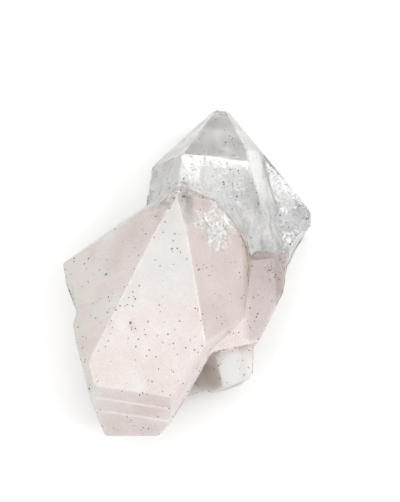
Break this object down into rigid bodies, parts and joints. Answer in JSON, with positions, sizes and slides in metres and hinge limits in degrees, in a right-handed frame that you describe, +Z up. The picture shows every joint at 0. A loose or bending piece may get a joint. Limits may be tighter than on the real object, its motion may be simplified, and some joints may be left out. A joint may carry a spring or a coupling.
{
  "type": "quartz crystal cluster",
  "caption": "Natural quartz cluster lying flat: a milky pointed crystal leaning up out of a clear pointed one, with small crystals at its foot and a broken underside.",
  "frame": {"origin": "middle of the bounding box on the surface the cluster rests on", "axes": "+Z up from the resting surface, +Y the way both crystal points look, +X to the right as the points are seen from above with their tips away from the viewer"},
  "size_m": [0.0966, 0.139, 0.066],
  "materials": {
    "quartz": "natural crystal faces, milky to clear, with small dark mineral specks"
  },
  "bodies": {
    "root": {"quartz_crystal": "quartz"}
  },
  "joints": []
}
